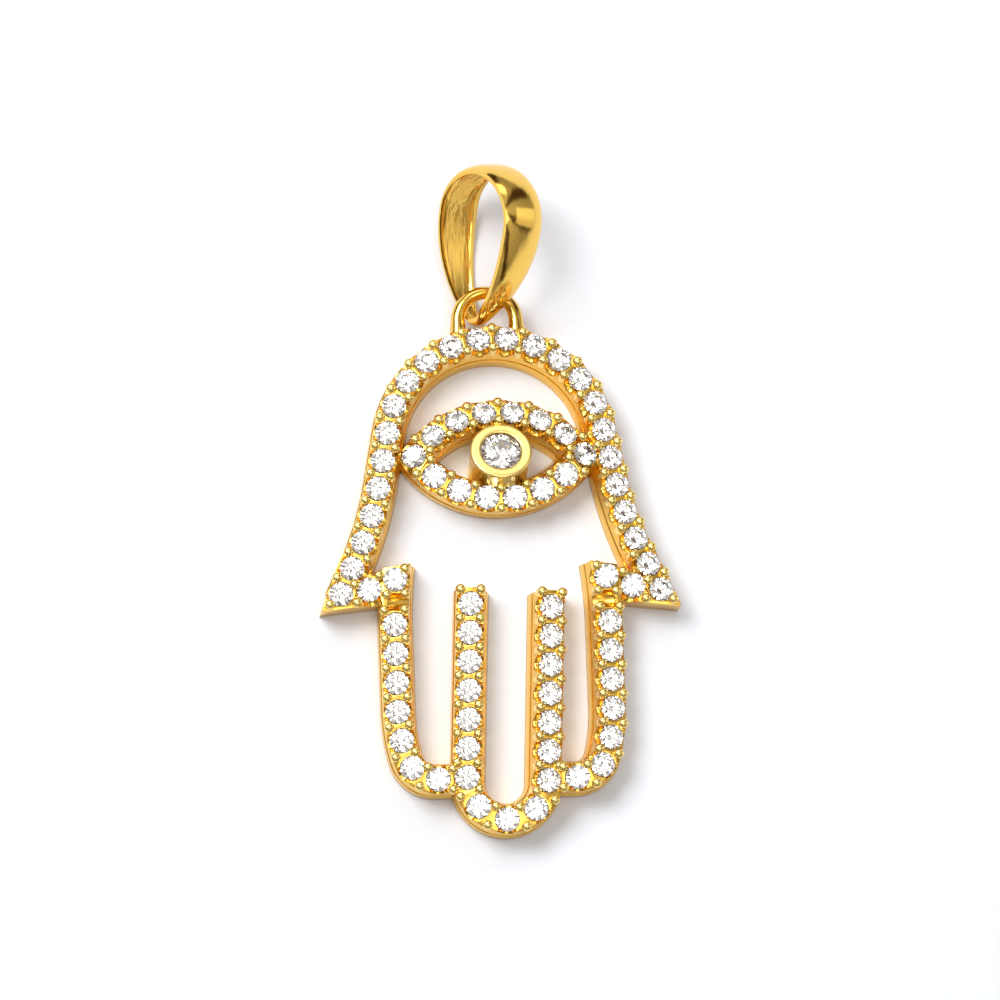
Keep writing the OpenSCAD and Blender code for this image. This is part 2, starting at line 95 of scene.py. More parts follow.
# The band that carries the stones
band_height = 1.45
band_width = 1.1
inner_flare = 0.34
rail_height = 0.6
rail_step = 0.05
band_cant = 8
scallop_radius = 0.36
half_top = band_width / 2
groove_reach = half_top * 0.5
edge_round = 0.022

# The ridges that run in a U under each stone on the inner wall: their reach, thickness and depth
ridge_reach = 0.58
ridge_r = 0.11
ridge_drop = 0.46

# The stones' seats and the bead prongs
stone_size = 1.0
stone_pitch = 1.19
stone_gap = 0.02
azure_size = 0.5
prong_size = 0.41
prong_height = 0.27
prong_dome = 0.16
prong_offset = 0.42
pavilion_share = 0.43
girdle_share = 0.03
stone_r = stone_size / 2
seat_r = stone_r + stone_gap
prong_r = prong_size / 2

# How much nearer beads stand to the band's middle where its top narrows, and on the thumb's point
close_share = 0.85
point_share = 0.6

# How far a cutter reaches past the band, how often a cut is tried, and by how many millimetres and
# degrees its cutters move with each try
tool_past = 0.4
cut_attempts = 9
cut_shift = 0.0006
cut_turn = 1.7

# How far from a seat's middle it is looked through, and how upright the normal of its wall can be for the
# wall to take the painted shade
probe_reach = 0.15
wall_upright = 0.95

# The eye and the bezel
eye_y = -4.89
eye_x = 0.13
eye_half = 3.53
lid_rise = 1.8
upper_lid_cant = 20
lower_lid_cant = 5
bezel_size = 2.44
bezel_height = 2.05
bezel_lean = 18
bezel_rise = 0.08
rim_width = 0.4
rim_flare = 0.05
rim_round = 0.1
rim_lap = 0.05
rim_depth = 0.5
crest_share = 0.55
crest_rise = 0.02
lip_share = 0.5
girdle_drop = 0.24
bore_share = 0.62

# The faces inside the bezel's lip that take the painted shade, by how far out they lie and how upright
# their normal is
throat_slack = 0.03
throat_upright = 0.6

# The loop and the bail
loop_wire = 0.54
loop_radius = 1.2
loop_x = -0.18
loop_y = 0.77
loop_z = 1.19
loop_swell = 1.1
crown_thinning = 0.1
leg_swell = 0.2
leg_places = (0.15, 0.4, 0.6, 0.8, 1)
bail_length = 6.86
bail_depth = 4.56
tip_depth = 1.66
strap_width = 1.96
tip_width = 0.54
strap_taper = 4.3
strap_thick = 0.28
strap_crown = 0.13
strap_hollow = 0.1
bail_turn = 39
bail_lift = 24.5
bail_lean = 8.5
bail_tip = (-0.65, 0.65, 0.65)

# The strap's crowned outside, its rounded edges, and its hollow as shares of half the width and of the
# hollow's depth
crown_fullness = 2.6
crown_roundness = 0.8
corner_share = 0.4
edge_width = 0.05
edge_share = 0.2
bevel_share = 0.3
hollow_points = ((0.76, 0), (0.73, 0.25), (0.6, 0.9), (0.3, 1))

# The streaked faces inside the strap, by how much they face inwards and their share of the width
inward_facing = 0.3
streaked_share = 0.36


def sind(angle):
    return sin(radians(angle))


def cosd(angle):
    return cos(radians(angle))


def tand(angle):
    return tan(radians(angle))


# A path is a list of rows. A row is (length, 0) for a straight run and (radius, degrees) for an arc,
# where a positive turn is to the left. A pose is (x, y, heading).
def row_length(row):
    return row[0] if row[1] == 0 else row[0] * abs(radians(row[1]))


def path_length(path):
    return sum(row_length(row) for row in path)


def along_row(pose, row, distance):
    x, y, heading = pose
    if row[1] == 0:
        return (x + distance * cosd(heading), y + distance * sind(heading), heading)
    side = 1 if row[1] > 0 else -1
    radius = row[0]
    later = heading + degrees(side * distance / radius)
    return (
        x + side * radius * (sind(later) - sind(heading)),
        y - side * radius * (cosd(later) - cosd(heading)),
        later,
    )


def along(pose, path, distance):
    for row in path[:-1]:
        length = row_length(row)
        if distance <= length:
            return along_row(pose, row, distance)
        pose = along_row(pose, row, length)
        distance -= length
    return along_row(pose, path[-1], distance)


def steps(length):
    """How many steps from stone to stone fit a length best."""
    return max(1, round(length / stone_pitch))


# The arch's right half, from the crown to the thumb
crown = (0, 0, 0)
half_arch = [(arch_radius, -arch_turn), (wrist_run, 0), (flare_radius, flare_turn), (thumb_run, 0)]
half_arch_length = path_length(half_arch)
arch_count = round(half_arch_length / stone_pitch + 0.5)
arch_pitch = half_arch_length / (arch_count - 0.5)
thumb_end = along(crown, half_arch, half_arch_length)
last_arch_gap = along(crown, half_arch, (arch_count - 1) * arch_pitch)

# The thumb's lower row and the outer finger
finger_start = (finger_x, finger_first, -90)


def above_first(distance):
    """The pose on the outer finger at a distance back from its first stone."""
    return along_row(finger_start, (finger_head_bend, -1), -distance)


finger_lead = thumb_end[1] + (thumb_end[0] - finger_x) * tand(thumb_slope) - finger_first
thumb_chord = (thumb_end[0] - above_first(finger_lead)[0]) / cosd(thumb_slope)
thumb_radius = thumb_chord / 2 / sind(thumb_turn / 2)
thumb_start = (thumb_end[0], thumb_end[1], 180 - thumb_slope + thumb_turn / 2)
thumb_row = [(thumb_radius, -thumb_turn)]
thumb_count = steps(path_length(thumb_row))
thumb_pitch = path_length(thumb_row) / thumb_count


def thumb_at(place):
    return along(thumb_start, thumb_row, place * thumb_pitch)


top_stone = thumb_at(thumb_count)
finger_turns = [(finger_run, 0), (finger_bend, -finger_bend_turn), (finger_corner, finger_bend_turn - 90)]
finger_turned = along(finger_start, finger_turns, path_length(finger_turns))
finger_row = finger_turns + [(finger_turned[0] - middle_half - stone_pitch, 0)]
finger_length = path_length(finger_row)
finger_count = steps(finger_length)
finger_pitch = finger_length / finger_count
finger_head = top_stone[1] - finger_first + half_top / cosd(thumb_slope)
finger_path_start = above_first(finger_head)
finger_path = [(finger_head_bend, -degrees(finger_head / finger_head_bend))] + finger_row
finger_past = stone_pitch - half_top + rail_step / 2

# The middle fingers, one U turned about the centre of its bow
middle_start = (
    middle_half * cosd(middle_lean) + middle_run * sind(middle_lean),
    bow_y - middle_half * sind(middle_lean) + middle_run * cosd(middle_lean),
    -90 - middle_lean,
)
middle_lead = stone_pitch / 2 + prong_r / 2
middle_path_start = along_row(middle_start, (middle_lead, 0), -middle_lead)
middle_path = [(middle_lead + middle_run, 0), (middle_half, -180), (middle_run + middle_lead, 0)]
bar_count = steps(middle_run)
bow_count = 4
middle_count = 2 * bar_count + bow_count


def middle_at(place):
    """How far along the U the stone with this number sits."""
    bar_pitch = middle_run / bar_count
    bow_pitch = pi * middle_half / bow_count
    if place <= bar_count:
        return place * bar_pitch
    if place <= bar_count + bow_count:
        return middle_run + (place - bar_count) * bow_pitch
    return middle_run + pi * middle_half + (place - bar_count - bow_count) * bar_pitch


# The two lids
lid_radius = (eye_half**2 + lid_rise**2) / (2 * lid_rise)
lid_turn = 2 * degrees(asin(eye_half / lid_radius))
upper_lid = (eye_x - eye_half, eye_y, lid_turn / 2)
lower_lid = (eye_x + eye_half, eye_y, 180 + lid_turn / 2)
lid_row = [(lid_radius, -lid_turn)]
lid_length = path_length(lid_row)
lid_count = steps(lid_length)
lid_pitch = lid_length / lid_count
lid_lead = half_top * 0.8


def box_of(points):
    """The lowest and highest corners of some points."""
    return (
        Vector([min(p[k] for p in points) for k in range(3)]),
        Vector([max(p[k] for p in points) for k in range(3)]),
    )


def swept(rings, closed=False):
    """A tube through rings of points, made of a grid whose rows are the rings. Open tubes get end faces."""
    shape = bmesh.new()
    rows = len(rings) + (1 if closed else 0)
    columns = len(rings[0])
    bmesh.ops.create_grid(shape, x_segments=columns, y_segments=rows - 1, size=1)
    for vertex in shape.verts:
        across = round((vertex.co.x + 1) / 2 * columns)
        down = round((vertex.co.y + 1) / 2 * (rows - 1))
        vertex.co = rings[down % len(rings)][across % columns]
    bmesh.ops.remove_doubles(shape, verts=shape.verts, dist=build_merge)
    if not closed:
        rims = [edge for edge in shape.edges if edge.is_boundary]
        bmesh.ops.holes_fill(shape, edges=rims, sides=0)
    bmesh.ops.recalc_face_normals(shape, faces=shape.faces)
    return shape


def turned(profile, segments):
    """A solid of revolution about Z from a profile of (radius, height) points."""
    shape = bmesh.new()
    verts = [shape.verts.new((radius, 0, height)) for radius, height in profile]
    edges = [shape.edges.new(pair) for pair in zip(verts, verts[1:])]
    bmesh.ops.spin(
        shape,
        geom=verts + edges,
        axis=(0, 0, 1),
        cent=(0, 0, 0),
        angle=2 * pi,
        steps=segments,
        use_merge=True,
    )
    bmesh.ops.remove_doubles(shape, verts=shape.verts, dist=build_merge)
    bmesh.ops.recalc_face_normals(shape, faces=shape.faces)
    return shape


def joined(shapes):
    """All the shapes in one mesh. The shapes themselves are used up."""
    whole = bmesh.new()
    for shape in shapes:
        part = bpy.data.meshes.new("part")
        shape.to_mesh(part)
        shape.free()
        whole.from_mesh(part)
        bpy.data.meshes.remove(part)
    return whole


def moved(shape, matrix):
    """A copy of the shape put through a matrix."""
    copy = shape.copy()
    bmesh.ops.transform(copy, matrix=matrix, verts=copy.verts)
    return copy


def as_object(name, shape):
    mesh = bpy.data.meshes.new(name)
    shape.to_mesh(mesh)
    shape.free()
    thing = bpy.data.objects.new(name, mesh)
    bpy.context.scene.collection.objects.link(thing)
    return thing


def carved(shape, cutter_groups):
    """The shape less each group of cutters in turn."""
    body = as_object("body", shape)
    tools = [as_object("tool", joined(group)) for group in cutter_groups if group]
    for tool in tools:
        cut = body.modifiers.new("cut", "BOOLEAN")
        cut.operation = "DIFFERENCE"
        cut.solver = "EXACT"
        cut.use_self = True
        cut.object = tool
    bpy.context.view_layer.update()
    seen = body.evaluated_get(bpy.context.evaluated_depsgraph_get())
    mesh = bpy.data.meshes.new_from_object(seen)
    result = bmesh.new()
    result.from_mesh(mesh)
    for thing in [body] + tools:
        bpy.data.objects.remove(thing)
    bpy.data.meshes.remove(mesh)
    return result


def softened(shape, width, sharp=32, segments=2):
    """Rounds the edges that are sharper than an angle and don't lie on an open rim, unless that would
    throw a corner further out than the rounding is wide."""
    bmesh.ops.remove_doubles(shape, verts=shape.verts, dist=soften_merge)
    bmesh.ops.dissolve_degenerate(shape, edges=shape.edges, dist=soften_merge)
    low, high = box_of([v.co for v in shape.verts])
    before = shape.copy()
    edges = [
        edge
        for edge in shape.edges
        if len(edge.link_faces) == 2 and degrees(edge.calc_face_angle(0)) > sharp
    ]
    bmesh.ops.bevel(
        shape,
        geom=edges,
        offset=width,
        offset_type="OFFSET",
        segments=segments,
        profile=0.5,
        affect="EDGES",
        clamp_overlap=False,
        material=-1,
    )
    new_low, new_high = box_of([v.co for v in shape.verts])
    grown = max(max(low - new_low), max(new_high - high))
    if grown > width:
        shape.free()
        return before
    before.free()
    return shape


def band_profile(cant):
    """The band's outline across its length, as (distance outward, height)."""
    slope = half_top * tand(cant)
    rail_flare = inner_flare * (1 - rail_height / band_height)
    return [
        (-half_top - inner_flare, 0),
        (-half_top - rail_flare, rail_height),
        (-half_top - rail_flare + rail_step, rail_height + rail_step / 2),
        (-half_top, band_height + slope),
        (half_top, band_height - slope),
        (half_top, rail_height + rail_step / 2),
        (half_top + rail_step, rail_height),
        (half_top + rail_step, 0),
    ]


def at_pose(pose, outward, height, ahead=0):
    """The point at a distance outward of a pose, at a height, and at a distance ahead of it."""
    x, y, heading = pose
    return Vector(
        (
            x + ahead * cosd(heading) - outward * sind(heading),
            y + ahead * sind(heading) + outward * cosd(heading),
            height,
        )
    )


def on_band(pose, cant):
    """The matrix that puts a part on the band's top at a pose."""
    place = Matrix.Translation((pose[0], pose[1], band_height))
    return place @ Matrix.Rotation(radians(pose[2]), 4, "Z") @ Matrix.Rotation(radians(-cant), 4, "X")


def seat_tool():
    """What a stone's seat takes out of the band: a cone with a hole right through below it."""
    drop = (seat_r - azure_size / 2) * 2 * pavilion_share
    return turned(
        [
            (0, -band_height - tool_past),
            (azure_size / 2, -band_height - tool_past),
            (azure_size / 2, -drop),
            (seat_r, 0),
            (seat_r, tool_past),
            (0, tool_past),
        ],
        seat_sides,
    )


def scallop_tool(sides):
    """A rod across the band: to the outside, the inside or both, or just past the middle for a groove."""
    reach = half_top + inner_flare + tool_past
    near, far = {
        "both": (-reach, reach),
        "out": (0, reach),
        "in": (-reach, 0),
        "groove": (-reach, groove_reach),
    }[sides]
    shape = bmesh.new()
    bmesh.ops.create_cone(
        shape,
        cap_ends=True,
        segments=scallop_sides,
        radius1=scallop_radius,
        radius2=scallop_radius,
        depth=far - near,
        matrix=Matrix.Translation((0, (near + far) / 2, 0)) @ Matrix.Rotation(pi / 2, 4, "X"),
    )
    return shape


# All seats as (pose, cant) and all scallops as (pose, sides), listed further down
seats = []
scallops = []
SEAT = seat_tool()
SCALLOP = {sides: scallop_tool(sides) for sides in ("both", "out", "in", "groove")}


def close_to(shape, places):
    """Those of the places that a shape reaches."""
    low, high = box_of([v.co for v in shape.verts])
    reach = half_top + inner_flare

    def close(pose):
        dx = max(low.x - pose[0], 0, pose[0] - high.x)
        dy = max(low.y - pose[1], 0, pose[1] - high.y)
        return sqrt(dx * dx + dy * dy) < reach

    return [place for place in places if close(place[0])]


def on_seat_wall(point):
    """Whether a point, given in a seat's own frame, lies on the seat's cone or through-hole."""
    wall = min(seat_r, max(azure_size / 2, seat_r + point.z / (2 * pavilion_share)))
    return abs(sqrt(point.x**2 + point.y**2) - wall) < wall_slack


def sound(shape, places):
    """Whether a cut shape is closed and each seat in it open right through."""
    if not all(edge.is_manifold for edge in shape.edges):
        return False
    tree = BVHTree.FromBMesh(shape)
    probes = [(0, 0), (probe_reach, 0), (-probe_reach, 0), (0, probe_reach), (0, -probe_reach)]
    for pose, cant in places:
        seat = on_band(pose, cant)
        down = seat.to_3x3() @ Vector((0, 0, -1))
        for x, y in probes:
            if tree.ray_cast(seat @ Vector((x, y, half_top)), down)[0] is not None:
                return False
    return True


def scalloped_and_seated(shape):
    """The shape with its scallops and seats cut. The seats' walls take the second material, which paints
    the shade in the seats dark brown.
    """
    near = close_to(shape, seats)
    reached = close_to(shape, scallops)
    # A cut that leaves a torn mesh is made again, each time with its cutters a little further off
    for attempt in range(cut_attempts):
        slide = Matrix.Translation((cut_shift * attempt, 0, -cut_shift * attempt))
        shift = slide @ Matrix.Rotation(radians(cut_turn * attempt), 4, "Z")
        rods = [moved(SCALLOP[sides], on_band(pose, 0) @ slide) for pose, sides in reached]
        holes = [moved(SEAT, on_band(pose, cant) @ shift) for pose, cant in near]
        cut = carved(shape.copy(), [rods, holes])
        if sound(cut, near):
            break
    shape.free()
    for pose, cant in near:
        back = on_band(pose, cant).inverted()
        turn = back.to_3x3()
        for face in cut.faces:
            on_wall = all(on_seat_wall(back @ vertex.co) for vertex in face.verts)
            if on_wall and abs((turn @ face.normal).z) < wall_upright:
                face.material_index = 1
    return cut


def band_cell(start, path, first, last, cant, open_first=True, open_last=True, slant=0):
    """One stretch of band with its seats and scallops cut and its edges rounded. Its open ends have no
    face, so that the next cell can be joined there. A slant cuts its first end off at an angle."""
    profile = band_profile(cant)
    count = max(2, ceil((last - first) / band_step))
    rings = []
    for k in range(count + 1):
        pose = along(start, path, first + (last - first) * k / count)
        skew = tand(slant) * (1 - k / count)
        rings.append([at_pose(pose, u, z, u * skew) for u, z in profile])
    cell = scalloped_and_seated(swept(rings))
    ends = []
    if open_first:
        ends.append(along(start, path, first))
    if open_last:
        ends.append(along(start, path, last))
    caps = []
    for face in cell.faces:
        for x, y, heading in ends:
            ahead = Vector((cosd(heading), sind(heading), 0))
            offsets = [abs((v.co - Vector((x, y, 0))).dot(ahead)) for v in face.verts]
            if max(offsets) < end_slack:
                caps.append(face)
                break
    bmesh.ops.delete(cell, geom=caps, context="FACES")
    return softened(cell, edge_round)


def welded(shape):
    """Joins neighbouring cells along their open rims and fills the slits that are left, but keeps the
    rim on the mirror plane open."""
    rims = {v for edge in shape.edges if edge.is_boundary for v in edge.verts}
    bmesh.ops.remove_doubles(shape, verts=list(rims), dist=rim_merge)
    open_edges = [edge for edge in shape.edges if edge.is_boundary]
    slits = [edge for edge in open_edges if max(abs(v.co.x) for v in edge.verts) > mirror_slack]
    bmesh.ops.holes_fill(shape, edges=slits, sides=0)
    bmesh.ops.recalc_face_normals(shape, faces=shape.faces)
    return shape


def both_hands(shape):
    """The right half and its mirror image in one mesh."""
    bmesh.ops.mirror(
        shape,
        geom=list(shape.verts) + list(shape.edges) + list(shape.faces),
        axis="X",
        merge_dist=mirror_merge,
    )
    bmesh.ops.recalc_face_normals(shape, faces=shape.faces)
    return shape


# Where the stones sit on the right half of the hand
arch_poses = [along(crown, half_arch, (i + 0.5) * arch_pitch) for i in range(arch_count)]
thumb_poses = [thumb_at(i) for i in range(1, thumb_count + 1)]
finger_poses = [along(finger_start, finger_row, i * finger_pitch) for i in range(finger_count + 1)]
middle_poses = [
    along(middle_path_start, middle_path, middle_lead + middle_at(i)) for i in range(middle_count + 1)
]
upper_poses = [along(upper_lid, lid_row, i * lid_pitch) for i in range(lid_count + 1)]
lower_poses = [along(lower_lid, lid_row, i * lid_pitch) for i in range(1, lid_count)]
head_pose = above_first(top_stone[1] - finger_first)
patch_pose = above_first((top_stone[1] - finger_first) / 2)
bow_joins = (bar_count, bar_count + bow_count)


def opposite(pose):
    """The mirror image of a pose on the left half, with its outside still outwards."""
    return (-pose[0], pose[1], -pose[2])


for pose in arch_poses + thumb_poses + finger_poses:
    seats += [(pose, band_cant), (opposite(pose), band_cant)]
seats += [(pose, band_cant) for pose in middle_poses]
seats += [(pose, upper_lid_cant) for pose in upper_poses]
seats += [(pose, lower_lid_cant) for pose in lower_poses]
for pose in arch_poses[:-1] + finger_poses:
    scallops += [(pose, "both"), (opposite(pose), "both")]
for pose in (thumb_end, thumb_at(1)):
    scallops += [(pose, "out"), (opposite(pose), "out")]
scallops += [(head_pose, "in"), (opposite(head_pose), "in")]
scallops += [(patch_pose, "groove"), (opposite(patch_pose), "groove")]
scallops += [(pose, "in" if i in bow_joins else "both") for i, pose in enumerate(middle_poses)]
scallops += [(pose, "both") for pose in upper_poses[1:-1] + lower_poses]


def thumb_plate():
    """The flat arrowhead along the arch's end, its own row of stones and the finger's head."""
    tip = along_row(thumb_end, (1, 0), thumb_point)
    outward = (-sind(thumb_end[2]), cosd(thumb_end[2]))
    inside = finger_x + half_top / 2
    first = thumb_at(1)
    foot = first[1] - half_top - rail_step
    notch = first[0] + half_top
    tip_share = 0.8

    def head_edge(x):
        return top_stone[1] + half_top / cosd(thumb_slope) - (x - top_stone[0]) * tand(thumb_slope)

    outline = [
        (tip[0] + outward[0] * half_top * tip_share, tip[1] + outward[1] * half_top * tip_share),
        (finger_x + half_top, foot),
        (inside, foot),
        (inside, head_edge(inside) - rail_step),
        (notch, head_edge(notch)),
        (thumb_end[0] + outward[0] * half_top, thumb_end[1] + outward[1] * half_top),
    ]
    top = band_height - half_top * tand(band_cant)
    plate = swept([[Vector((x, y, z)) for x, y in outline] for z in (0, top)])
    return softened(scalloped_and_seated(plate), edge_round)


def hand_bands():
    """The arch, the thumbs and the outer fingers."""
    cells = [
        band_cell(crown, half_arch, i * arch_pitch, (i + 1) * arch_pitch, band_cant)
        for i in range(arch_count - 1)
    ]
    tail = (arch_count - 1) * arch_pitch
    cells.append(band_cell(crown, half_arch, tail, half_arch_length, band_cant, open_last=False))
    half = finger_pitch / 2
    cells.append(
        band_cell(
            finger_path_start,
            finger_path,
            0,
            finger_head - half,
            band_cant,
            open_first=False,
            slant=thumb_slope,
        )
    )
    for i in range(finger_count + 1):
        middle = finger_head + i * finger_pitch
        last = middle + (half if i < finger_count else finger_past)
        cells.append(
            band_cell(
                finger_path_start,
                finger_path,
                middle - half,
                last,
                band_cant,
                open_last=i < finger_count,
            )
        )
    return both_hands(joined([welded(joined(cells)), thumb_plate()]))


def middle_bands():
    """The two middle fingers and their bow."""
    stops = [0]
    stops += [middle_lead + (middle_at(i) + middle_at(i + 1)) / 2 for i in range(middle_count)]
    stops += [2 * middle_lead + middle_at(middle_count)]
    cells = [
        band_cell(
            middle_path_start,
            middle_path,
            stops[i],
            stops[i + 1],
            band_cant,
            open_first=i > 0,
            open_last=i < middle_count,
        )
        for i in range(middle_count + 1)
    ]
    return welded(joined(cells))


def lid_bands(lid, cant):
    """One lid of the eye, with its ends run into the arch."""
    half = lid_pitch / 2
    cells = [band_cell(lid, lid_row, -lid_lead, half, cant, open_first=False)]
    for i in range(1, lid_count):
        cells.append(band_cell(lid, lid_row, (i - 0.5) * lid_pitch, (i + 0.5) * lid_pitch, cant))
    cells.append(band_cell(lid, lid_row, lid_length - half, lid_length + lid_lead, cant, open_last=False))
    return welded(joined(cells))


def bead():
    """One bead prong: a short stem with a domed top, its foot down in the band."""
    dome = [
        (prong_r * cosd(angle), prong_height + prong_dome * (sind(angle) - 1))
        for angle in range(0, 90 + arc_step, arc_step)
    ]
    return turned([(0, -scallop_radius), (prong_r, -scallop_radius)] + dome, bead_sides)


BEAD = bead()


def beads_at(pose, cant, offsets):
    """Beads on the band at the given distances outward."""
    place = on_band(pose, cant)
    return [moved(BEAD, place @ Matrix.Translation((0, outward, 0))) for outward in offsets]


def hand_beads():
    """The beads of the arch, the thumbs and the outer fingers."""
    pairs = (-prong_offset, prong_offset)
    close_offset = close_share * prong_offset
    point = along_row(thumb_end, (1, 0), thumb_point * point_share)
    made = []
    for i in range(1, arch_count - 1):
        made += beads_at(along(crown, half_arch, i * arch_pitch), band_cant, pairs)
    made += beads_at(thumb_at(thumb_count - 0.5), band_cant, pairs)
    for i in range(-1, finger_count + 1):
        pose = along(finger_start, finger_row, (i + 0.5) * finger_pitch)
        made += beads_at(pose, band_cant, pairs)
    made += beads_at(last_arch_gap, band_cant, (prong_offset, -close_offset))
    made += beads_at(thumb_at(0.5), band_cant, (prong_offset,))
    made += beads_at(point, band_cant, (point_share * prong_offset,))
    upper = above_first(top_stone[1] - finger_first - stone_pitch / 2)
    made += beads_at(upper, band_cant, (-prong_offset,))
    corner = above_first(finger_head - prong_r + close_offset * tand(thumb_slope))
    made += beads_at(corner, band_cant, (-close_offset,))
    right = joined(made)
    return joined([both_hands(right)] + beads_at(crown, band_cant, pairs))


def other_beads():
    """The beads of the middle fingers and of the eye."""
    pairs = (-prong_offset, prong_offset)
    made = []
    ends = [-middle_run / bar_count / 2, middle_at(middle_count) + middle_run / bar_count / 2]
    between = [(middle_at(i) + middle_at(i + 1)) / 2 for i in range(middle_count)]
    for distance in ends + between:
        pose = along(middle_path_start, middle_path, middle_lead + distance)
        made += beads_at(pose, band_cant, pairs)
    for lid, cant in ((upper_lid, upper_lid_cant), (lower_lid, lower_lid_cant)):
        for i in range(lid_count):
            made += beads_at(along(lid, lid_row, (i + 0.5) * lid_pitch), cant, pairs)
    return joined(made)


def gallery_ridges():
    """The U-shaped ridges that follow the stones on the band's inner wall."""
    rings = []
    for k in range(ridge_rings + 1):
        angle = radians(180 + 180 * k / ridge_rings)
        out = Vector((cos(angle), sin(angle), 0))
        rings.append(
            [
                ridge_reach * out + ridge_r * (out * cosd(turn) + Vector((0, 0, sind(turn))))
                for turn in range(0, 360, ridge_step)
            ]
        )
    ridge = swept(rings)
    drop = Matrix.Translation((0, 0, -ridge_drop))
    places = [on_band(pose, 0) @ drop for pose, sides in scallops if sides in ("both", "in")]
    made = [moved(ridge, place) for place in places]
    ridge.free()
    return joined(made)


rim_r = bezel_size / 2
lip_r = rim_r - rim_width
centre_r = lip_r + rim_lap


def bezel():
    """The cup round the eye's middle stone, its rim rounded and its lip turned in over the stone."""
    depth = bezel_height + rim_r
    groove = centre_r + stone_gap
    bore = centre_r * bore_share
    drop = (groove - bore) * 2 * pavilion_share
    ledge = -girdle_drop - stone_gap
    wide = rim_r + rim_flare
    quarter = range(0, 90 + arc_step, arc_step)
    under = range(-2 * arc_step, 0, arc_step)
    outer = [
        (wide - rim_round * (1 - cosd(a)), rim_round * (sind(a) - 1)) for a in list(under) + list(quarter)
    ]
    inner = [(lip_r + rim_round * (1 - sind(a)), rim_round * (cosd(a) - 1)) for a in quarter]
    crest = [(lip_r + rim_width * crest_share, crest_rise)]
    profile = [(rim_r, -depth), (rim_r, -rim_depth)] + outer + crest + inner
    profile += [
        (lip_r, -girdle_drop * lip_share),
        (groove, ledge + girdle_share * 2 * centre_r + 2 * stone_gap),
        (groove, ledge),
        (bore, ledge - drop),
        (bore, -depth),
        (rim_r, -depth),
    ]
    shape = turned(profile, bezel_sides)
    # Faces inside the lip take the second material, which paints the shade there dark brown
    for face in shape.faces:
        centre = face.calc_center_median()
        from_axis = sqrt(centre.x**2 + centre.y**2)
        if from_axis < lip_r + throat_slack and face.normal.z < throat_upright:
            face.material_index = 1
    matrix = Matrix.Translation((eye_x, eye_y + bezel_rise, bezel_height))
    shape = moved(shape, matrix @ Matrix.Rotation(radians(-bezel_lean), 4, "X"))
    geom = list(shape.verts) + list(shape.edges) + list(shape.faces)
    bmesh.ops.bisect_plane(shape, geom=geom, plane_co=(0, 0, 0), plane_no=(0, 0, 1), clear_inner=True)
    rims = [edge for edge in shape.edges if edge.is_boundary]
    bmesh.ops.triangle_fill(shape, edges=rims, use_beauty=True)
    bmesh.ops.recalc_face_normals(shape, faces=shape.faces)
    return shape


def wire_loop():
    """The soldered loop: a bow with two straight legs that thicken towards the solder at their feet."""
    wire_r = loop_wire / 2
    foot = loop_y - half_top / 2
    around = [k * 360 / wire_sides for k in range(wire_sides)]

    def ring(x, y, turn, swell):
        middle = Vector((loop_x + x, loop_y + y, loop_z))
        out = Vector((cosd(turn), sind(turn), 0))
        return [middle + wire_r * swell * (out * cosd(a) + Vector((0, 0, sind(a)))) for a in around]

    def leg(side, places):
        turn = 0 if side > 0 else 180
        return [ring(side * loop_radius, -foot * p, turn, loop_swell + leg_swell * p) for p in places]

    rings = leg(1, reversed(leg_places))
    for angle in range(0, 180 + bow_step, bow_step):
        swell = loop_swell - crown_thinning * sind(angle)
        rings.append(ring(loop_radius * cosd(angle), loop_radius * sind(angle), angle, swell))
    rings += leg(-1, leg_places)
    loop = swept(rings)
    return carved(loop, [[moved(SEAT, on_band(pose, cant)) for pose, cant in close_to(loop, seats)]])


def strap_width_at(height):
    left = max(0, 1 - height / strap_taper)
    return strap_width - (strap_width - tip_width) * left * left


def strap_outline(width):
    """The strap's outline across its width: (across, outward). Crowned outside and hollow inside."""
    half = width / 2
    thick = strap_thick / 2
    rise = strap_crown * width / strap_width
    corner = corner_share * thick
    crest = thick + rise - corner
    outer = []
    for k in range(strap_points + 1):
        across = -1 + 2 * k / strap_points
        bulge = (1 - abs(across) ** crown_fullness) ** crown_roundness
        outer.append((half * across, corner + crest * bulge))
    edge = min(edge_width, half * edge_share)
    inner = [
        (half, -thick + edge),
        (half - edge * bevel_share, -thick + edge * bevel_share),
        (half - edge, -thick),
    ]
    inner += [(half * out, -thick + strap_hollow * depth) for out, depth in hollow_points]
    return outer + inner + [(-across, height) for across, height in reversed(inner)]


def bail_matrix():
    drop = strap_thick / 2 + strap_crown
    lift = Matrix.Rotation(radians(-bail_lean), 4, "Z") @ Matrix.Rotation(radians(bail_lift), 4, "X")
    turn = lift @ Matrix.Rotation(radians(bail_turn), 4, "Y")
    upright = Matrix.Translation((0, drop, 0)) @ Matrix.Rotation(pi / 2, 4, "Y")
    return Matrix.Translation(bail_tip) @ turn @ upright


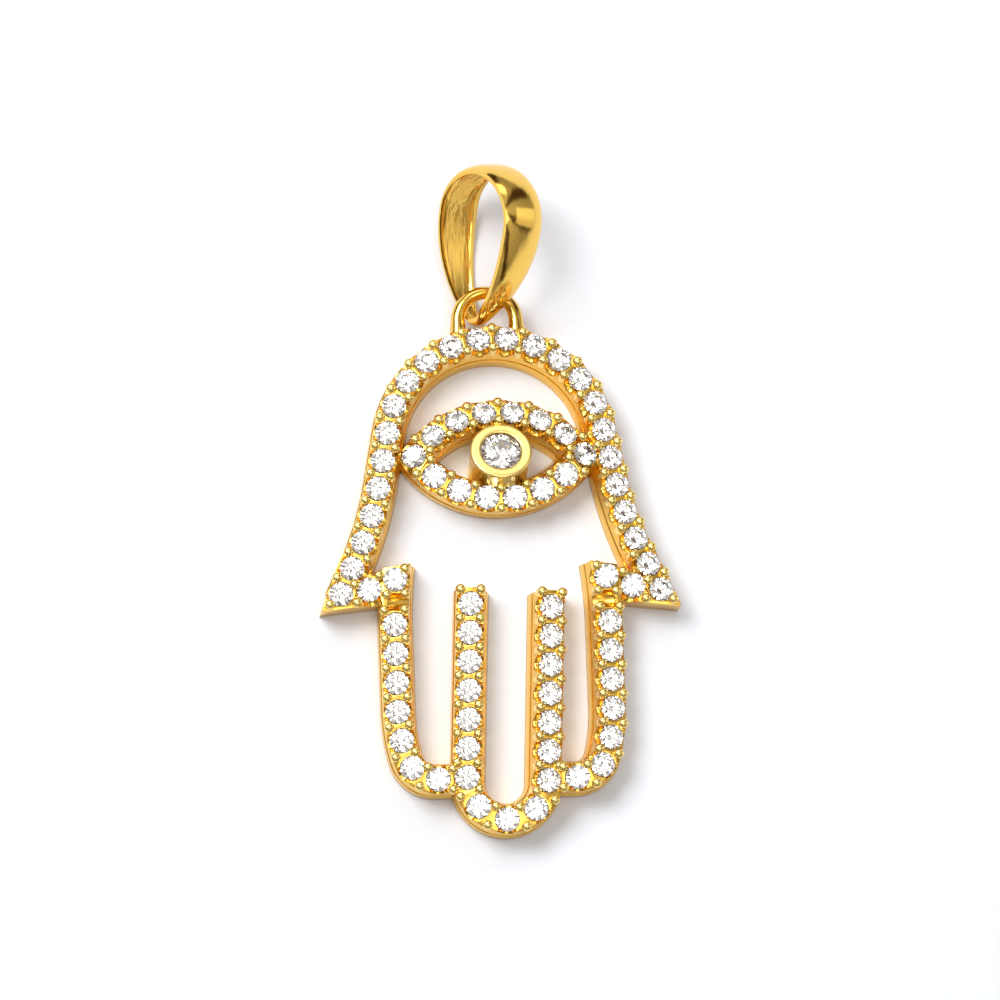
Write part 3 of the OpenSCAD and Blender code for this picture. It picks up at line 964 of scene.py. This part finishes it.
def bail():
    """The strap bent into a long oval drop."""
    bail_r = (bail_depth - strap_thick) / 2 - strap_crown
    tip_r = (tip_depth - strap_thick) / 2 - strap_crown
    rise = bail_length - strap_thick - 2 * strap_crown - bail_r - tip_r
    side_r = (bail_r**2 - tip_r**2 + rise**2) / (2 * (bail_r - tip_r))
    tip_turn = degrees(asin((side_r - bail_r) / (side_r - tip_r)))
    path = [
        (tip_r, tip_turn),
        (side_r, 90 - tip_turn),
        (bail_r, 180),
        (side_r, 90 - tip_turn),
        (tip_r, tip_turn),
    ]
    length = path_length(path)
    rings = []
    for k in range(bail_rings):
        x, y, heading = along((0, 0, 0), path, length * k / bail_rings)
        rings.append(
            [
                Vector((x + out * sind(heading), y - out * cosd(heading), across))
                for across, out in strap_outline(strap_width_at(y))
            ]
        )
    shape = swept(rings, closed=True)
    middle = Vector((0, bail_length / 2, 0))
    for face in shape.faces:
        centre = face.calc_center_median()
        inwards = face.normal.dot((middle - centre).normalized())
        in_hollow = abs(centre.z) < strap_width_at(centre.y) * streaked_share
        if inwards > inward_facing and in_hollow:
            face.material_index = 1
    bmesh.ops.transform(shape, matrix=bail_matrix(), verts=shape.verts)
    return shape


# The gold's tints, and the size of its unevenness, which streaks stretch along one direction
warm = (0.9, 0.57, 0.115)
# A paler copy of the gold, painted light that makes the beads and the bezel's rim read brighter
pale_painted_light = (0.97, 0.73, 0.24)
cast = (0.86, 0.52, 0.095)
# A dark brown that paints the shade in the stones' seats and inside the bezel's lip
painted_shade_tint = (0.3, 0.13, 0.02)
grain_scale = 1800
streak_scale = (2.2, 0.12, 2.2)
streak_turn = (0, 0, radians(-12))


def gold(name, colour, roughness, unevenness, depth=0.00003, streaks=None):
    """Yellow gold with the faint unevenness that casting leaves, or with streaks along one direction."""
    material = bpy.data.materials.new(name)
    material.use_nodes = True
    nodes = material.node_tree.nodes
    links = material.node_tree.links
    shader = nodes["Principled BSDF"]
    shader.inputs["Base Color"].default_value = (*colour, 1)
    shader.inputs["Metallic"].default_value = 1
    shader.inputs["Roughness"].default_value = roughness
    coordinates = nodes.new("ShaderNodeTexCoord")
    turn = nodes.new("ShaderNodeMapping")
    uneven = nodes.new("ShaderNodeTexNoise")
    uneven.inputs["Scale"].default_value = grain_scale
    uneven.inputs["Detail"].default_value = 2
    if streaks:
        turn.inputs["Rotation"].default_value = streaks
        turn.inputs["Scale"].default_value = streak_scale
    links.new(coordinates.outputs["Object"], turn.inputs["Vector"])
    links.new(turn.outputs["Vector"], uneven.inputs["Vector"])
    bump = nodes.new("ShaderNodeBump")
    bump.inputs["Strength"].default_value = unevenness
    bump.inputs["Distance"].default_value = depth
    links.new(uneven.outputs["Fac"], bump.inputs["Height"])
    links.new(bump.outputs["Normal"], shader.inputs["Normal"])
    return material


def clear_stone():
    """Clear faceted stone that glows faintly, painted light that keeps the small stones reading white in
    gold.
    """
    material = bpy.data.materials.new("clear_stone")
    material.use_nodes = True
    shader = material.node_tree.nodes["Principled BSDF"]
    shader.inputs["Base Color"].default_value = (1.0, 0.98, 0.94, 1)
    shader.inputs["Roughness"].default_value = 0.0
    shader.inputs["IOR"].default_value = 2.05
    shader.inputs["Transmission Weight"].default_value = 1.0
    # A faint glow, painted light that lifts the stones' dark facets
    shader.inputs["Emission Color"].default_value = (1, 1, 1, 1)
    shader.inputs["Emission Strength"].default_value = 0.02
    return material


def finished(name, shape, materials, nodes, smooth=40):
    """Scales a mesh to metres, shades it and puts it on the frame's body."""
    bmesh.ops.transform(shape, matrix=Matrix.Scale(MM, 4), verts=shape.verts)
    thing = as_object(name, shape)
    for material in materials:
        thing.data.materials.append(material)
    thing.data.shade_smooth()
    thing.data.set_sharp_from_angle(angle=radians(smooth))
    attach(thing, "root")
    if nodes:
        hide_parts(*nodes)


polished_gold = gold("polished_gold", warm, 0.16, 0.05)
cast_gold = gold("cast_gold", cast, 0.24, 0.45)
# The beads and the rim take the paler copy of the gold, which is painted light
bead_painted_light_gold = gold("bead_painted_light_gold", pale_painted_light, 0.27, 0.06)
rim_painted_light_gold = gold("rim_painted_light_gold", pale_painted_light, 0.3, 0.08)
strap_gold = gold("strap_gold", warm, 0.15, 0.3, streaks=streak_turn)
# Painted shade for the seats' walls and the inside of the bezel's lip
seat_painted_shade_gold = gold("seat_painted_shade_gold", painted_shade_tint, 0.3, 0.1)
strap_inside = gold("strap_inside", warm, 0.26, 1.0, 0.00009, streaks=streak_turn)
# The bands' gold, and the painted shade of their seats
band_golds = [cast_gold, seat_painted_shade_gold]
finished("hand_bands", hand_bands(), band_golds, ["hand_frame"])
finished("middle_bands", middle_bands(), band_golds, [])
finished("upper_lid", lid_bands(upper_lid, upper_lid_cant), band_golds, [])
finished("lower_lid", lid_bands(lower_lid, lower_lid_cant), band_golds, [])
finished("gallery_ridges", gallery_ridges(), [polished_gold], [], 60)
finished("hand_beads", hand_beads(), [bead_painted_light_gold], [], 60)
finished("eye_and_middle_beads", other_beads(), [bead_painted_light_gold], [], 60)
finished("bezel", bezel(), [rim_painted_light_gold, seat_painted_shade_gold], [], 35)
finished("wire_loop", wire_loop(), [polished_gold], [], 60)
finished("drop_bail", bail(), [strap_gold, strap_inside], ["bail"], 35)

stone = clear_stone()
for name in ("hand_stones", "middle_stones", "eye_stones", "centre_stone"):
    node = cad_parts[name]
    node.data.materials.clear()
    node.data.materials.append(stone)

for tool in [SEAT, BEAD] + list(SCALLOP.values()):
    tool.free()


# From here on lengths are in metres
floor_half = 0.6
floor_tint = (0.82, 0.845, 0.9)


def floor():
    """The white surface that the pendant lies on."""
    shape = bmesh.new()
    bmesh.ops.create_grid(shape, x_segments=1, y_segments=1, size=floor_half)
    thing = as_object("floor", shape)
    material = bpy.data.materials.new("white_surface")
    material.use_nodes = True
    shader = material.node_tree.nodes["Principled BSDF"]
    shader.inputs["Base Color"].default_value = (*floor_tint, 1)
    shader.inputs["Roughness"].default_value = 0.9
    shader.inputs["Specular IOR Level"].default_value = 0.1
    thing.data.materials.append(material)


floor()


light_target = (0, -0.007, 0)


def soft_light(name, place, width, height, power):
    """A lit rectangle that faces the pendant's middle."""
    light = bpy.data.lights.new(name, "AREA")
    light.shape = "RECTANGLE"
    light.size = width
    light.size_y = height
    light.energy = power
    thing = bpy.data.objects.new(name, light)
    bpy.context.scene.collection.objects.link(thing)
    towards = Vector(place) - Vector(light_target)
    thing.matrix_world = Matrix.Translation(place) @ towards.to_track_quat("Z", "Y").to_matrix().to_4x4()


soft_light("top_left_box", (-0.15, 0.11, 0.26), 0.16, 0.16, 0.85)
soft_light("top_box", (0.02, 0.3, 0.26), 0.3, 0.14, 0.25)
soft_light("overhead_box", (0.03, -0.06, 0.42), 0.2, 0.2, 0.32)
soft_light("right_strip", (0.3, 0.0, 0.1), 0.16, 0.2, 0.08)

# The walls round the table and the gaps between them. Their light grows with the height of a view.
wall_gaps = 7
wall_tint = (1.14, 1.12, 1.1)
gap_tint = (0.13, 0.06, 0.02)
gap_edges = (-0.8, -0.1)
rise_heights = (0.1, 0.95)
rise_lights = (0.3, 0.6)


def studio_world():
    """Pale walls with dark brown gaps round the table, brighter overhead than near the horizon."""
    world = bpy.data.worlds.new("studio")
    bpy.context.scene.world = world
    world.use_nodes = True
    nodes = world.node_tree.nodes
    links = world.node_tree.links
    background = nodes["Background"]
    coordinates = nodes.new("ShaderNodeTexCoord")
    split = nodes.new("ShaderNodeSeparateXYZ")
    links.new(coordinates.outputs["Generated"], split.inputs["Vector"])
    rise = nodes.new("ShaderNodeMapRange")
    rise.inputs["From Min"].default_value = rise_heights[0]
    rise.inputs["From Max"].default_value = rise_heights[1]
    rise.inputs["To Min"].default_value = rise_lights[0]
    rise.inputs["To Max"].default_value = rise_lights[1]
    links.new(split.outputs["Z"], rise.inputs["Value"])
    bearing = nodes.new("ShaderNodeMath")
    bearing.operation = "ARCTAN2"
    links.new(split.outputs["Y"], bearing.inputs[0])
    links.new(split.outputs["X"], bearing.inputs[1])
    count = nodes.new("ShaderNodeMath")
    count.operation = "MULTIPLY"
    count.inputs[1].default_value = wall_gaps
    links.new(bearing.outputs["Value"], count.inputs[0])
    wave = nodes.new("ShaderNodeMath")
    wave.operation = "SINE"
    links.new(count.outputs["Value"], wave.inputs[0])
    gaps = nodes.new("ShaderNodeMapRange")
    gaps.inputs["From Min"].default_value = gap_edges[0]
    gaps.inputs["From Max"].default_value = gap_edges[1]
    links.new(wave.outputs["Value"], gaps.inputs["Value"])
    tint = nodes.new("ShaderNodeMix")
    tint.data_type = "RGBA"
    tint.inputs["A"].default_value = (*gap_tint, 1)
    tint.inputs["B"].default_value = (*wall_tint, 1)
    links.new(gaps.outputs["Result"], tint.inputs["Factor"])
    links.new(tint.outputs["Result"], background.inputs["Color"])
    links.new(rise.outputs["Result"], background.inputs["Strength"])


studio_world()


def camera():
    """A long lens at the photograph's angle: 41 mm of the object fill the frame's width."""
    span = 0.041
    distance = 0.4
    sensor = 36
    left_tilt = 6
    foot_tilt = 11
    roll = Matrix.Rotation(radians(-2.04), 4, "Z")
    target = Vector((0.00012, -0.00668, 0.001))
    towards = Vector((tand(-left_tilt), tand(-foot_tilt), 1)).normalized()
    across = Vector((0, 1, 0)).cross(towards).normalized()
    upward = towards.cross(across)
    turn = Matrix((across, upward, towards)).transposed().to_4x4() @ roll
    data = bpy.data.cameras.new("camera")
    data.sensor_width = sensor
    data.lens = sensor * distance / span
    data.clip_start = 0.01
    data.clip_end = 10
    thing = bpy.data.objects.new("camera", data)
    thing.matrix_world = Matrix.Translation(target + towards * distance) @ turn
    bpy.context.scene.collection.objects.link(thing)
    bpy.context.scene.camera = thing


camera()
bpy.context.scene.view_settings.view_transform = "Standard"
